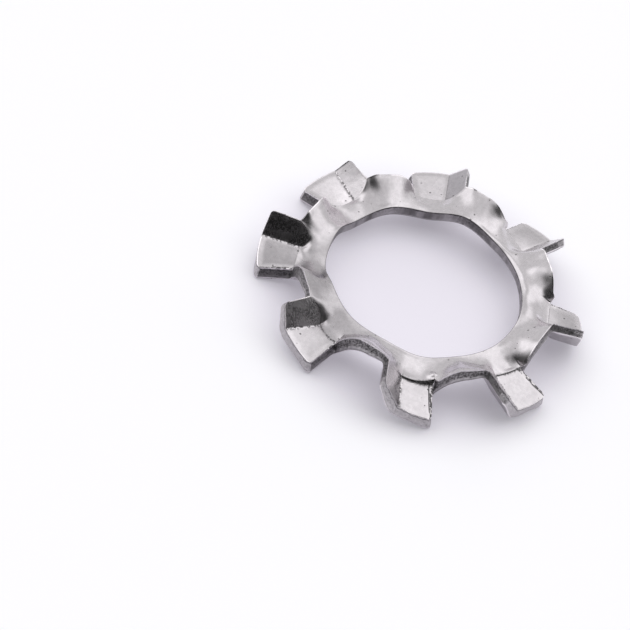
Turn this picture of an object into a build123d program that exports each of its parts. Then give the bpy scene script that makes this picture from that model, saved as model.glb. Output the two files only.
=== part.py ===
"""External-tooth lock washer, M8 size: one sheet-metal ring, dished, with eight punched teeth.

Lengths are in millimetres and angles in degrees. The bore axis is +Z and the dished, punched
side faces up. z = 0 is the middle of the sheet at the bore, and the fold of the first tooth
lies over the X axis.
"""

import os
from math import cos, hypot, pi, radians, sin, tan

from build123d import *

# Driving dimensions: the blank
tooth_count = 8
bore_diameter = 8.7
gap_floor_diameter = 11.4
tooth_circle_diameter = 14.6
sheet_thickness = 0.55
gap_scallop = 0.22  # how much further out the gap's floor would lie under a tooth

# Driving dimensions: the dish and the press
dish_rise = 0.78  # from the bore's rim up to the edge of a gap
press_depth = 1.0  # how far the punch takes that edge down at a tooth
pad_side_lap = 0.85  # angle inside the pad's edge where the gap's edge starts back up
pad_side_run = 12.4  # angle that it takes to come up
pad_side_bulge = 0.6  # under 1 it comes up fast and then levels off
wing_side_lap = 4.9  # and the same on the wing's side
wing_side_run = 9.1
wing_side_bulge = 0.7
rim_lift = 0.08  # the rim between teeth, above its mean level
rim_dip = 0.25  # the rim beside a tooth, below the rim between teeth
rim_dip_reach = 12.15  # angle from the bottom of that dip to the level rim
dish_curl = 0.55  # share of the dish that is S-shaped rather than conical

# Driving dimensions: a tooth, a shallow pad and a steep wing that meet at a fold
punch_step = 0.12  # radial distance from the gap's floor in to the punch's edge
fold_level = -0.04
pad_root_width = 1.33
pad_tip_width = 1.72
pad_root_slope = 1.0
pad_tip_slope = 14.0
wing_length = 1.15
wing_root_slope = 50.0
wing_tip_slope = 55.0
wing_tip_lean = 10.0  # the tip's edge leans in by this much where it climbs the wing
ridge_radius = 0.45  # on the back, under the fold
tip_corner_radius = 0.15
burial_share = 0.8  # width of the plate's end inside the ring, against its width at the root
burial_thinning = 0.5  # and its thickness, ridge radius and wing slope
burial_drop = 0.09  # and how far below the root's fold it lies

# Sizes that follow
bore_radius = bore_diameter / 2
gap_floor_radius = gap_floor_diameter / 2
tip_radius = tooth_circle_diameter / 2
root_radius = gap_floor_radius - punch_step
rim_level = sheet_thickness / 2
pitch_angle = 360 / tooth_count

# How the shapes are made up
sections_per_pitch = 30
points_per_section = 5
ball_steps = 18  # positions of the ball on each side of a point of the underside
ball_reach = 0.9  # share of the ball's radius that those positions cover
trim_allowance = 0.3  # stock that the bore and the tip trim take off
clear_height = 3.0  # further up and down than anything the punch or the trim cuts
punch_sink = 0.12  # the punch cuts this far into the plate that is added after it
punch_margin = 0.05  # and stays this far inside the plate's pad side
wing_stretch = 1.5  # the punch's wing side, against the tooth's wing
slope_step = 0.02  # radial step over which the dish's climb is taken


def angle_at(width, radius):
    """Angle that a tooth's width takes up at a radius."""
    return width / radius * 180 / pi


pad_angle = angle_at(pad_root_width, root_radius)
wing_angle = angle_at(wing_length * cos(radians(wing_root_slope)), root_radius)
tooth_middle = (pad_angle - wing_angle) / 2
gap_middle = tooth_middle + pitch_angle / 2
rim_dip_angle = 2 * tooth_middle


def ease(share):
    """Smooth step from 0 to 1."""
    share = min(max(share, 0.0), 1.0)
    return share * share * (3 - 2 * share)


def past_fold(angle):
    """Angle from the fold of the tooth before, over one pitch from that tooth's middle."""
    return (angle - tooth_middle) % pitch_angle + tooth_middle


def edge_height(angle):
    """Top of the sheet at the gap's radius: high between teeth, pressed down at a tooth."""
    after, before = past_fold(angle), pitch_angle - past_fold(angle)
    pad_share = max(after - pad_angle + pad_side_lap, 0.0) / pad_side_run
    wing_share = max(before - wing_angle + wing_side_lap, 0.0) / wing_side_run
    raised = ease(pad_share**pad_side_bulge) * ease(wing_share**wing_side_bulge)
    return rim_level + dish_rise - press_depth * (1 - raised)


def rim_height(angle):
    """Top of the sheet at the bore, which the press draws down a little at each tooth."""
    off = (angle - rim_dip_angle + pitch_angle / 2) % pitch_angle - pitch_angle / 2
    dip = cos(pi / 2 * min(abs(off) / rim_dip_reach, 1.0)) ** 2
    return rim_level + rim_lift - rim_dip * dip


def top_height(radius, angle):
    """Top of the formed ring anywhere."""
    share = (radius - bore_radius) / (gap_floor_radius - bore_radius)
    climb = (1 - dish_curl) * share + dish_curl * ease(share)
    return rim_height(angle) * (1 - climb) + edge_height(angle) * climb


def outward_slope(radius, angle):
    """Climb of the ring's top along a radius."""
    further, nearer = radius + slope_step, radius - slope_step
    return (top_height(further, angle) - top_height(nearer, angle)) / (further - nearer)


def under_height(radius, angle):
    """Underside of the ring: the lowest reach of a ball, one sheet thick, rolled over the top."""
    stretch = hypot(1, outward_slope(radius, angle))
    lowest = top_height(radius, angle) - sheet_thickness * stretch
    for place in range(-ball_steps, ball_steps + 1):
        aside = sheet_thickness * ball_reach * place / ball_steps
        drop = (sheet_thickness**2 - aside**2) ** 0.5 * stretch
        lowest = min(lowest, top_height(radius, angle + angle_at(aside, radius)) - drop)
    return lowest


def ring_edge_radius(angle):
    """Outer edge of the ring: a shallow scallop between two teeth."""
    return gap_floor_radius + gap_scallop * (1 - cos(2 * pi * (angle - gap_middle) / pitch_angle)) / 2


def radial_plane(angle):
    """Upright plane through the axis, with x outward and y up."""
    outward = (cos(radians(angle)), sin(radians(angle)), 0)
    return Plane(origin=(0, 0, 0), x_dir=outward, z_dir=(outward[1], -outward[0], 0))


def facet_points(fold_height, pad_width, pad_slope, wing_slope, wing=wing_length):
    """Pad edge, fold and wing edge of a tooth's upper side, as (across, up)."""
    pad_turn, wing_turn = radians(pad_slope), radians(wing_slope)
    pad_edge = (pad_width * cos(pad_turn), fold_height - pad_width * sin(pad_turn))
    wing_edge = (-wing * cos(wing_turn), fold_height + wing * sin(wing_turn))
    return pad_edge, (0.0, fold_height), wing_edge


def plate_outline(points, thickness):
    """The V plate's section: the upper side's three points, then three on the back."""
    pad_edge, fold, wing_edge = points
    pad_width = hypot(pad_edge[0], pad_edge[1] - fold[1])
    wing = hypot(wing_edge[0], wing_edge[1] - fold[1])
    pad_back = ((pad_edge[1] - fold[1]) / pad_width, -pad_edge[0] / pad_width)
    wing_back = (-(wing_edge[1] - fold[1]) / wing, wing_edge[0] / wing)
    share = thickness / (1 + pad_back[0] * wing_back[0] + pad_back[1] * wing_back[1])
    ridge = (
        fold[0] + share * (pad_back[0] + wing_back[0]),
        fold[1] + share * (pad_back[1] + wing_back[1]),
    )
    pad_corner = (pad_edge[0] + thickness * pad_back[0], pad_edge[1] + thickness * pad_back[1])
    wing_corner = (wing_edge[0] + thickness * wing_back[0], wing_edge[1] + thickness * wing_back[1])
    return [pad_edge, fold, wing_edge, wing_corner, ridge, pad_corner]


def across_plane(distance):
    """Upright plane square to the first tooth's fold, with x across and y up."""
    return Plane(origin=(distance, 0, 0), x_dir=(0, 1, 0), z_dir=(1, 0, 0))


# One pitch of the ring, from mid-gap to mid-gap, through upright sections round the axis
with BuildPart() as ring_pitch:
    for station in range(sections_per_pitch + 1):
        section_angle = gap_middle - pitch_angle * (1 - station / sections_per_pitch)
        inner_radius = bore_radius - trim_allowance
        spacing = (ring_edge_radius(section_angle) - inner_radius) / (points_per_section - 1)
        radii = [inner_radius + spacing * point for point in range(points_per_section)]
        with BuildSketch(radial_plane(section_angle)):
            with BuildLine():
                top = Spline([(r, top_height(r, section_angle)) for r in radii])
                under = Spline([(r, under_height(r, section_angle)) for r in reversed(radii)])
                Line(top @ 1, under @ 0)
                Line(under @ 1, top @ 0)
            make_face()
    loft()

# One tooth: a V plate that grows out of the ring's underside
plate_tip = tip_radius + trim_allowance
tip_share = (plate_tip - root_radius) / (tip_radius - root_radius)


def toward_tip(root_value, tip_value):
    """Value at the untrimmed tip that gives the wanted value at the trimmed one."""
    return root_value + (tip_value - root_value) * tip_share


root_facets = facet_points(fold_level, pad_root_width, pad_root_slope, wing_root_slope)
tip_facets = facet_points(
    fold_level,
    toward_tip(pad_root_width, pad_tip_width),
    toward_tip(pad_root_slope, pad_tip_slope),
    toward_tip(wing_root_slope, wing_tip_slope),
)
buried_facets = facet_points(
    fold_level - burial_drop,
    pad_root_width * burial_share,
    pad_root_slope * burial_thinning,
    wing_root_slope * burial_thinning,
    wing_length * burial_share,
)
lean_back = clear_height * tan(radians(wing_tip_lean))
with BuildPart() as tooth:
    for distance, facets, thinning in (
        (root_radius - sheet_thickness, buried_facets, burial_thinning),
        (root_radius, root_facets, 1.0),
        (plate_tip, tip_facets, 1.0),
    ):
        outline = plate_outline(facets, sheet_thickness * thinning)
        with BuildSketch(across_plane(distance)) as plate_section:
            with BuildLine():
                Polyline(outline, close=True)
            make_face()
            ridge = plate_section.vertices().sort_by_distance(outline[4])[0]
            fillet(ridge, ridge_radius * thinning)
    loft(ruled=True)
    with BuildSketch(Plane.XZ):
        with BuildLine():
            Polyline(
                (tip_radius, -clear_height),
                (tip_radius, fold_level),
                (tip_radius - lean_back, fold_level + clear_height),
                (tip_radius + clear_height, fold_level + clear_height),
                (tip_radius + clear_height, -clear_height),
                close=True,
            )
        make_face()
    revolve(axis=Axis.Z, mode=Mode.SUBTRACT)
    tip_points = facet_points(fold_level, pad_tip_width, pad_tip_slope, wing_tip_slope)
    tip_outline = plate_outline(tip_points, sheet_thickness)
    for corner, corner_back in ((tip_outline[0], tip_outline[5]), (tip_outline[2], tip_outline[3])):
        across = (corner[0] + corner_back[0]) / 2
        up = (corner[1] + corner_back[1]) / 2
        corner_radius = tip_radius - max(up - fold_level, 0.0) * tan(radians(wing_tip_lean))
        corner_middle = ((corner_radius**2 - across**2) ** 0.5, across, up)
        fillet(tooth.edges().sort_by_distance(corner_middle)[0], tip_corner_radius)

# The punch takes the ring down to just inside the plate, from its inner edge outward
with BuildPart() as punch:
    for distance, facets in ((root_radius, root_facets), (plate_tip, tip_facets)):
        pad_edge, fold, wing_edge = facets
        wing_top = fold[1] + (wing_edge[1] - fold[1]) * wing_stretch - punch_sink
        with BuildSketch(across_plane(distance)):
            with BuildLine():
                Polyline(
                    (pad_edge[0] - punch_margin, pad_edge[1] - punch_sink),
                    (fold[0], fold[1] - punch_sink),
                    (wing_edge[0] * wing_stretch, wing_top),
                    (wing_edge[0] * wing_stretch, clear_height),
                    (pad_edge[0] + sheet_thickness, clear_height),
                    close=True,
                )
            make_face()
    loft(ruled=True)

with BuildPart() as lock_washer:
    with PolarLocations(0, tooth_count):
        add(ring_pitch.part)
    with PolarLocations(0, tooth_count):
        add(punch.part, mode=Mode.SUBTRACT)
    with PolarLocations(0, tooth_count):
        add(tooth.part)
    Hole(bore_radius)

lock_washer.part.label = "lock_washer"
os.makedirs("parts", exist_ok=True)
export_step(lock_washer.part, "parts/lock_washer.step")
print("lock_washer", lock_washer.part.volume, lock_washer.part.bounding_box().size)
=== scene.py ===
# %% [markdown]
# # A toothed lock washer
# One stamped steel ring with eight punched teeth, lying dished side up on a pale sweep. The CAD
# part fixes where everything is, in metres, with the bore's axis along Z and the fold of the
# first tooth over X. This lesson gives it the finish of real pressed sheet: soft bends, sheared
# walls, small burrs and a satin metal. The CAD model is loaded first and is never changed.

# %% Load the frame
import math

import bpy
import numpy as np
from mathutils import Matrix, Vector, noise


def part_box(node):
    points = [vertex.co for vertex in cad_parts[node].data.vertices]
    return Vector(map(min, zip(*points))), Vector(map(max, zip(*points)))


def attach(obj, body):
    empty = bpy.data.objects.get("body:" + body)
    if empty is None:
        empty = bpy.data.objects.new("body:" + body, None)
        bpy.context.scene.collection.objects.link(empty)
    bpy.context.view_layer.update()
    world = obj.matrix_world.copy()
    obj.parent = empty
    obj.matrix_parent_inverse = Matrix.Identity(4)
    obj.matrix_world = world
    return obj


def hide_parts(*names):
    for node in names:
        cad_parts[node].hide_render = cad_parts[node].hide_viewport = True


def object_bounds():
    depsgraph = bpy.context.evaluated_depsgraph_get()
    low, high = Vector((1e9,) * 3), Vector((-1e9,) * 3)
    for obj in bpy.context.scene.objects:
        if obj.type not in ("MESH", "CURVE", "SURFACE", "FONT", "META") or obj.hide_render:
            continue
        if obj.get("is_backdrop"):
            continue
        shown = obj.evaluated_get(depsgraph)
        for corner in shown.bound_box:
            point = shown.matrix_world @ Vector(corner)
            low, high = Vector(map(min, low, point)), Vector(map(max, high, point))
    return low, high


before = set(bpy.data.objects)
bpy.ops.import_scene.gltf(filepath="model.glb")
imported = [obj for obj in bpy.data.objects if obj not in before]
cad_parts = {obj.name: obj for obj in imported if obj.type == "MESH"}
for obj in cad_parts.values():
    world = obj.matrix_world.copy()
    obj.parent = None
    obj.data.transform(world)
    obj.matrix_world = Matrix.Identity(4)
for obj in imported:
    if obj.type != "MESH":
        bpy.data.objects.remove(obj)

size_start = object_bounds()
mm = 0.001
cad_low, cad_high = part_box("lock_washer")
print("cad box, mm:", [round(v / mm, 2) for v in (*cad_low, *cad_high)])

# %% [markdown]
# ## The blank
# A lock washer starts as a flat ring with square teeth, cut from thin spring steel. The press
# then dishes the ring and bends each tooth into a V. A boolean or a subdivided CAD mesh would
# keep flat little facets on those bends, so the sheet is built here as grids of rows and
# columns that follow the metal: columns run from the bore out to an edge, rows run round.
# Until the mesh is made, lengths are in millimetres and angles in degrees. The teeth are numbered
# from 0, anticlockwise from the one over X, and a list of eight values has one for each of them.

# %% Sizes
teeth = 8
pitch = 360 / teeth
bore_r = 4.35
gap_r = 5.70
sheet = 0.53
nowhere = 9.0  # a distance so large that the line it is measured from shows nothing


def ease(share):
    """Smooth step from 0 to 1."""
    share = np.clip(share, 0.0, 1.0)
    return share * share * (3 - 2 * share)


def mix(a, b, share):
    """From a to b by a share."""
    return a + (b - a) * share


def bell(away):
    """1 in the middle, 0.6 one spread away, and soon nothing."""
    return np.exp(-0.5 * away**2)


print("teeth:", teeth, "one every", pitch, "degrees")

# %% [markdown]
# ## The rim at the bore
# The press pulls the rim down beside every tooth and leaves it higher between them. On a real
# washer no two of these waves are the same, because the tool wears and the steel springs back
# by a slightly different amount at each tooth. So each tooth gets a dip and a crest of its own,
# joined by smooth steps; a plain sine wave would look machined.

# %% Rim height round the bore
rim_dips = (0.15, 0.30, 0.40, 0.475, 0.15, -0.03, 0.00, 0.27)
rim_crests = (0.31, 0.44, 0.49, 0.63, 0.28, 0.39, 0.45, 0.36)
dip_angle, crest_angle = 8.5, 29.0


def rim_height(angle):
    """Top of the rim at an angle."""
    tooth = np.floor((angle - dip_angle) / pitch).astype(int)
    past = angle - dip_angle - tooth * pitch
    here = np.array(rim_dips)[tooth % teeth]
    crest = np.array(rim_crests)[tooth % teeth]
    after = np.array(rim_dips)[(tooth + 1) % teeth]
    climb = crest_angle - dip_angle
    rising = mix(here, crest, ease(past / climb))
    return np.where(past < climb, rising, mix(crest, after, ease((past - climb) / (pitch - climb))))


print("rim at 0, 90, 180, 270:", np.round(rim_height(np.array([0.0, 90, 180, 270])), 2))

# %% [markdown]
# ## One tooth
# Each tooth is a V: a wide shallow pad and a narrow steep wing that meet at a fold. Six corner
# points say where a tooth lies, seen in its own frame with X outward along the fold. The surface
# between them is stretched from corner to corner, which also gives the slight twist that a pad
# has from its root to its tip.

# %% Corners that all teeth share
corners = {
    "fold_root": (5.575, 0.0, -0.064),
    "fold_tip": (7.300, 0.0, -0.035),
    "pad_root": (5.554, 1.326, -0.069),
    "pad_tip": (7.033, 1.657, -0.391),
    "wing_root": (5.785, -0.742, 0.825),
    "wing_tip": (7.105, -0.661, 0.902),
}
print("length of the fold:", round(corners["fold_tip"][0] - corners["fold_root"][0], 2))

# %% [markdown]
# ## No two teeth alike
# The eight teeth of a real washer are struck together, and still each comes out a little twisted
# or short. Random shifts would look merely untidy, so each tooth has its own list of corners that
# moved, and its two root lines may bow outward or inward. The shifts were first fitted to the
# corners of one real washer by a script, and then rounded, thinned out and changed by eye.

# %% Shifts of single corners, in mm
shifts = (
    {
        "fold_tip": (0.03, 0.20, 0),
        "pad_root": (-0.06, 0.05, 0.05),
        "pad_tip": (0.10, 0.03, -0.02),
        "wing_root": (-0.03, 0, 0.05),
    },
    {
        "fold_root": (-0.06, 0, 0),
        "fold_tip": (0.10, -0.10, -0.14),
        "pad_tip": (0.06, 0.02, 0.03),
        "wing_root": (0, -0.03, 0),
        "wing_tip": (0.14, -0.16, -0.16),
    },
    {
        "fold_root": (0.12, 0, 0),
        "fold_tip": (-0.12, 0, 0),
        "pad_root": (0.05, 0, 0),
        "pad_tip": (-0.04, -0.06, -0.10),
        "wing_tip": (0.06, 0, 0),
    },
    {
        "fold_tip": (-0.04, 0.06, 0),
        "pad_root": (0.08, 0, 0.10),
        "wing_tip": (0.06, -0.05, 0.05),
    },
    {
        "fold_root": (-0.08, -0.08, 0.10),
        "pad_root": (-0.20, -0.04, -0.06),
        "wing_root": (0.04, 0, 0.09),
    },
    {
        "fold_root": (-0.12, 0, 0),
        "fold_tip": (-0.10, -0.10, 0.07),
        "wing_root": (0, 0.04, -0.09),
        "wing_tip": (-0.06, 0.06, -0.18),
    },
    {
        "pad_root": (0.03, 0.05, -0.10),
        "pad_tip": (0.05, 0, -0.03),
        "wing_root": (0.09, 0.03, -0.06),
        "wing_tip": (0.10, 0, 0),
    },
    {
        "fold_root": (-0.03, 0.14, -0.12),
        "fold_tip": (-0.02, -0.10, 0.12),
        "pad_tip": (0.03, 0, -0.02),
        "wing_tip": (0.04, -0.08, 0.05),
    },
)
pad_bows = (0.12, 0.05, 0.0, 0.0, -0.10, -0.18, 0.0, 0.12)
wing_bows = (-0.05, -0.10, -0.10, -0.10, -0.15, -0.15, -0.38, -0.24)


def tooth_corners(tooth):
    """The six corners of one tooth, by name, in its own frame, and the bows of its roots."""
    moved = {name: np.array(corner) for name, corner in corners.items()}
    for name, shift in shifts[tooth].items():
        moved[name] += shift
    moved["bows"] = pad_bows[tooth], wing_bows[tooth]
    return moved


all_corners = [tooth_corners(tooth) for tooth in range(teeth)]
first_width = all_corners[0]["pad_tip"][1] - all_corners[0]["fold_tip"][1]
print("first pad, tip width:", round(float(first_width), 2))

# %% Tooth surface
pad_bulge = 0.086


def tooth_point(at, out, across):
    """Point on the tooth's top. out runs 0 to 1 root to tip, across -1 to 1 wing to pad."""
    out, across = np.broadcast_arrays(np.asarray(out, float), np.asarray(across, float))
    far, side = out[..., None], np.abs(across)[..., None]
    fold = mix(at["fold_root"], at["fold_tip"], far)
    pad = mix(at["pad_root"], at["pad_tip"], far)
    wing = mix(at["wing_root"], at["wing_tip"], far)
    point = mix(fold, np.where((across >= 0)[..., None], pad, wing), side)
    hump = 4 * np.abs(across) * (1 - np.abs(across))
    point[..., 0] += np.where(across > 0, pad_bulge, 0) * hump * out**2
    pad_bow, wing_bow = at["bows"]
    point[..., 0] += np.where(across > 0, pad_bow, wing_bow) * hump * np.maximum(1 - out, 0) ** 2
    return point


first_middle = tooth_point(all_corners[0], 0.5, 0.5)
print("middle of the first pad:", np.round(first_middle, 2))

# %% [markdown]
# ## The tooth's height over any point
# The back of the sheet will need the tooth's height over points that aren't on its grid, even a
# little past its edges. There is no formula for it, but a guess can be improved: take a place
# along the tooth, see where the fold and the edges are there, and correct the place. After a few
# rounds it no longer changes.

# %% Tooth height
root_x, tooth_length = 5.57, 1.73
search_rounds = 5
before_root, past_tip = -0.5, 1.3


def along(at, line, axis, out):
    """One coordinate of a tooth's fold, pad edge or wing edge."""
    return mix(at[line + "_root"][axis], at[line + "_tip"][axis], out)


def tooth_height(at, x, y):
    """Height of the tooth's top, carried on past its edges, over points of its own frame."""
    out = (x - root_x) / tooth_length
    for _ in range(search_rounds):
        fold_y = along(at, "fold", 1, out)
        on_pad = y >= fold_y
        edge_y = np.where(on_pad, along(at, "pad", 1, out), along(at, "wing", 1, out))
        side = (y - fold_y) / (edge_y - fold_y)
        near = mix(at["fold_root"][0], np.where(on_pad, at["pad_root"][0], at["wing_root"][0]), side)
        far = mix(at["fold_tip"][0], np.where(on_pad, at["pad_tip"][0], at["wing_tip"][0]), side)
        out = np.clip((x - near) / (far - near), before_root, past_tip)
    edge_z = np.where(on_pad, along(at, "pad", 2, out), along(at, "wing", 2, out))
    return mix(along(at, "fold", 2, out), edge_z, side)


found = tooth_height(all_corners[0], *first_middle[:2])
print("height in the pad's middle:", round(float(found), 3), "made:", round(float(first_middle[2]), 3))

# %% [markdown]
# ## Columns round the washer
# The punch leaves a small crisp step where a tooth's pad begins. Columns that pass through a
# tooth therefore aim at points on its root line, and columns between teeth aim at the scalloped
# edge of the gap. They stand closer together near corners and folds, where the surface turns
# fastest, so that a fold stays crisp without extra loops elsewhere.

# %% Where the columns stand
wing_columns, pad_columns, gap_columns = 15, 24, 46
wing_tight, pad_tight, gap_tight = 0.75, 0.8, 0.5


def spread(count, tight):
    """Shares from 0 to 1, gathered towards both ends."""
    share = np.linspace(0, 1, count)
    return mix(share, ease(share), tight)


tooth_across = np.concatenate([-1 + spread(wing_columns, wing_tight), spread(pad_columns, pad_tight)[1:]])
tooth_columns = len(tooth_across)
block = tooth_columns + gap_columns
print("columns in a tooth:", tooth_columns, "in a gap:", gap_columns)

# %% [markdown]
# ## The edge of a gap
# The punch trims the sheet between two teeth to a shallow scallop. Because the ring is dished,
# that edge climbs too: from the foot of one pad it rises about a millimetre to a crest, and comes
# down again beside the next wing. It could be a curve through many points, but two short formulas
# need only a few values, and one of them changed makes every crest steeper or every scallop deeper.

# %% The edge of a gap
crest_level, crest_fall = 1.045, 1.0
gap_lifts = (-0.07, -0.03, 0.01, 0.04, -0.12, 0.03, -0.09, 0.04)
pad_foot, pad_climb, pad_curve = 12.7, 12.4, 0.6
wing_foot, wing_climb, wing_curve = 2.7, 9.1, 0.7
scallop_depth, gap_middle = 0.11, 25.5


def gap_level(tooth, angle):
    """Top of the sheet along the gap after a tooth, at an angle from that tooth's fold."""
    pad_share = np.clip((angle - pad_foot) / pad_climb, 0, 1)
    wing_share = np.clip((pitch - angle - wing_foot) / wing_climb, 0, 1)
    dome = ease(pad_share**pad_curve) * ease(wing_share**wing_curve)
    return crest_level + gap_lifts[tooth] - crest_fall * (1 - dome)


def scallop(angle):
    """Radius of the gap's edge, before it is led to the corners of its two teeth."""
    return gap_r + scallop_depth * (1 - np.cos(np.radians(teeth * (angle - gap_middle))))


print("gap crests:", np.round([gap_level(tooth, gap_middle) for tooth in range(teeth)], 2))

# %% [markdown]
# ## Corners of the outline
# Where a tooth leaves the ring the outline has real corners. The gap's edge is led to the exact
# corner of each tooth over a short way, with a slight flare beside the pad. Along a tooth's root
# the ring stands above the tooth by a small step, which grows towards the pad's corner and fades
# out on the wing. All of that goes into three lists: the angle at which each column ends, its
# radius there and its height.

# %% Where each column ends, and how high
steps = (0.08, 0.06, 0.05, 0.03, 0.04, 0.04, 0.0, 0.05)
corner_steps = (0.26, 0.05, 0.03, 0.02, 0.02, 0.02, 0.02, 0.03)
wing_step_end = 0.9
flares = (0.02, 0.05, 0.09, 0.13, 0.06, 0.06, 0.02, 0.04)
flare_place, flare_width = 1.1, 0.9
pad_scallop_r, wing_scallop_r = 5.823, 5.824
pad_lead_r, wing_lead_r = 0.6, 0.8
pad_lead_z, wing_lead_z = 1.3, 2.0


def angle_of(point):
    return math.degrees(math.atan2(point[1], point[0]))


column_angle, column_r, column_z, column_tooth, column_across = [], [], [], [], []
for tooth in range(teeth):
    at, after = all_corners[tooth], all_corners[(tooth + 1) % teeth]
    root = tooth_point(at, 0.0, tooth_across)
    pad_step = steps[tooth] + corner_steps[tooth] * tooth_across**3
    wing_step = steps[tooth] * (1 - ease(-tooth_across / wing_step_end))
    column_angle += list(np.degrees(np.arctan2(root[:, 1], root[:, 0])) + tooth * pitch)
    column_r += list(np.hypot(root[:, 0], root[:, 1]))
    column_z += list(root[:, 2] + np.where(tooth_across > 0, pad_step, wing_step))
    column_across += list(tooth_across)

    start, end = angle_of(at["pad_root"]), angle_of(after["wing_root"]) + pitch
    angle = mix(start, end, spread(gap_columns + 2, gap_tight)[1:-1])
    past, short = angle - start, angle - end
    pad_pull = (math.hypot(*at["pad_root"][:2]) - pad_scallop_r) * np.exp(-past / pad_lead_r)
    wing_pull = (math.hypot(*after["wing_root"][:2]) - wing_scallop_r) * np.exp(short / wing_lead_r)
    radius = scallop(angle) + (pad_pull + wing_pull)
    radius += flares[tooth] * np.exp(-(((past - flare_place) / flare_width) ** 2))
    level = gap_level(tooth, angle)
    pad_rise = column_z[-1] - gap_level(tooth, start)
    wing_rise = after["wing_root"][2] - gap_level(tooth, end)
    level += pad_rise * np.exp(-past / pad_lead_z) + wing_rise * np.exp(short / wing_lead_z)
    column_angle += list(angle + tooth * pitch)
    column_r += list(radius)
    column_z += list(level)
    column_across += [nowhere] * gap_columns
    column_tooth += [tooth] * block
column_angle, column_r, column_z = np.array(column_angle), np.array(column_r), np.array(column_z)
column_tooth, column_across = np.array(column_tooth), np.array(column_across)
columns = len(column_angle)
print("columns:", columns, "lowest and highest edge:", round(column_z.min(), 2), round(column_z.max(), 2))

# %% [markdown]
# ## The dished ring
# From the rim the sheet climbs to the edge of the gap in a soft S. Right at the edge it follows
# every corner that the punch left, and further in those corners melt away, because sheet metal
# spreads a sharp bend over a distance of about its own thickness. That is done by blurring the
# edge's height round the washer and using the sharp one only close to the edge. Beside a tooth's
# two corners the sheet was held down longer, so there it stays low and then climbs late.

# %% Blurring round the washer
fine_step = 0.05
fine = np.arange(0, 360, fine_step)
top_blur, under_blur = 1.5, 4.0


def blurred(values, degrees):
    """A column value on fine, even steps of angle, spread round the washer."""
    order = np.argsort(column_angle % 360)
    even = np.interp(fine, (column_angle % 360)[order], values[order], period=360)
    weight = bell(np.minimum(fine, 360 - fine) / degrees)
    return np.real(np.fft.ifft(np.fft.fft(even) * np.fft.fft(weight / weight.sum())))


def at_angle(values, angle):
    """A blurred value at any angle."""
    return np.interp(angle % 360, fine, values, period=360)


edge_soft = blurred(column_z, top_blur)
edge_under = blurred(column_z, under_blur)
reach_soft = blurred(column_r, top_blur)
print("edge height, sharp and blurred:", round(np.ptp(column_z), 2), round(np.ptp(edge_under), 2))

# %% Ring surface
dish_curl = 0.55
pad_hold, pad_delay = 15.0, 1.3
wing_hold, wing_delay = -8.5, 1.0
hold_width = 5.0


def beside(angle, place):
    """1 at the same place beside every tooth, falling to 0 away from it."""
    away = (angle - place + pitch / 2) % pitch - pitch / 2
    return bell(away / hold_width)


def ring_height(r, angle, edge):
    """Height of the dished ring under a given edge height."""
    share = np.maximum(r - bore_r, 0) / (at_angle(reach_soft, angle) - bore_r)
    climb = (1 - dish_curl) * share + dish_curl * ease(share)
    climb = climb ** (1 + pad_delay * beside(angle, pad_hold) + wing_delay * beside(angle, wing_hold))
    return rim_height(angle) * (1 - climb) + at_angle(edge, angle) * climb


print("middle of the ring, over X:", round(float(ring_height(5.0, np.array(0.0), edge_soft)), 2))

# %% [markdown]
# ## Swells and hollows
# Between the big bends the sheet isn't smooth: the metal that a tooth's fold pushed aside stands up
# as a low swell just inside the fold, and the slopes beside the teeth carry shallow hollows. They
# are only a few hundredths of a millimetre high, but polished metal shows each one as a soft blob
# of light. Each is a round bump with a place, a spread and a height, and they fade at the edges.
# Most of the list's rows were proposed by a search that matched how one real washer shines, and
# they were then rounded, merged and strengthened.

# %% Swells: angle, radius, spread, height
swells = (
    (354, 4.9, 0.40, 0.06),
    (4, 5.1, 0.35, 0.06),
    (13.4, 5.40, 0.12, 0.12),
    (54, 5.3, 0.27, -0.09),
    (55, 5.5, 0.25, -0.04),
    (63, 4.7, 0.40, 0.06),
    (66, 4.7, 0.27, 0.03),
    (69, 5.5, 0.20, -0.04),
    (90, 4.9, 0.27, 0.04),
    (93, 4.9, 0.35, 0.11),
    (106, 4.9, 0.35, 0.10),
    (117, 5.1, 0.20, 0.04),
    (120, 4.9, 0.40, 0.02),
    (150, 4.7, 0.40, -0.05),
    (153, 4.7, 0.20, -0.03),
    (156, 5.4, 0.30, -0.05),
    (168, 4.8, 0.40, 0.05),
    (174, 5.5, 0.27, -0.06),
    (197, 5.4, 0.35, -0.08),
    (213, 4.8, 0.36, 0.13),
    (219, 5.5, 0.20, -0.04),
    (227, 5.1, 0.28, 0.12),
    (249, 4.9, 0.40, -0.10),
    (249, 5.3, 0.40, -0.07),
    (258, 5.5, 0.20, -0.06),
    (261, 5.1, 0.20, 0.05),
    (266, 5.4, 0.20, -0.02),
    (270, 5.1, 0.22, 0.12),
    (276, 5.3, 0.27, -0.05),
    (282, 4.9, 0.30, 0.05),
    (303, 4.9, 0.27, 0.06),
    (315, 5.2, 0.20, 0.09),
    (321, 4.9, 0.20, -0.03),
)
swell_fade = 0.25


def swell_height(x, y):
    """Height of all swells together over a point."""
    height = np.zeros_like(x)
    for place, radius, width, rise in swells:
        turn = math.radians(place)
        away = np.hypot(x - radius * math.cos(turn), y - radius * math.sin(turn))
        height += rise * bell(away / width)
    r, angle = np.hypot(x, y), np.degrees(np.arctan2(y, x))
    outer_fade = ease((at_angle(reach_soft, angle) - r) / swell_fade)
    return height * ease((r - bore_r) / swell_fade) * outer_fade


print("swells:", sum(swell[3] > 0 for swell in swells), "hollows:", sum(swell[3] < 0 for swell in swells))

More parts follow.
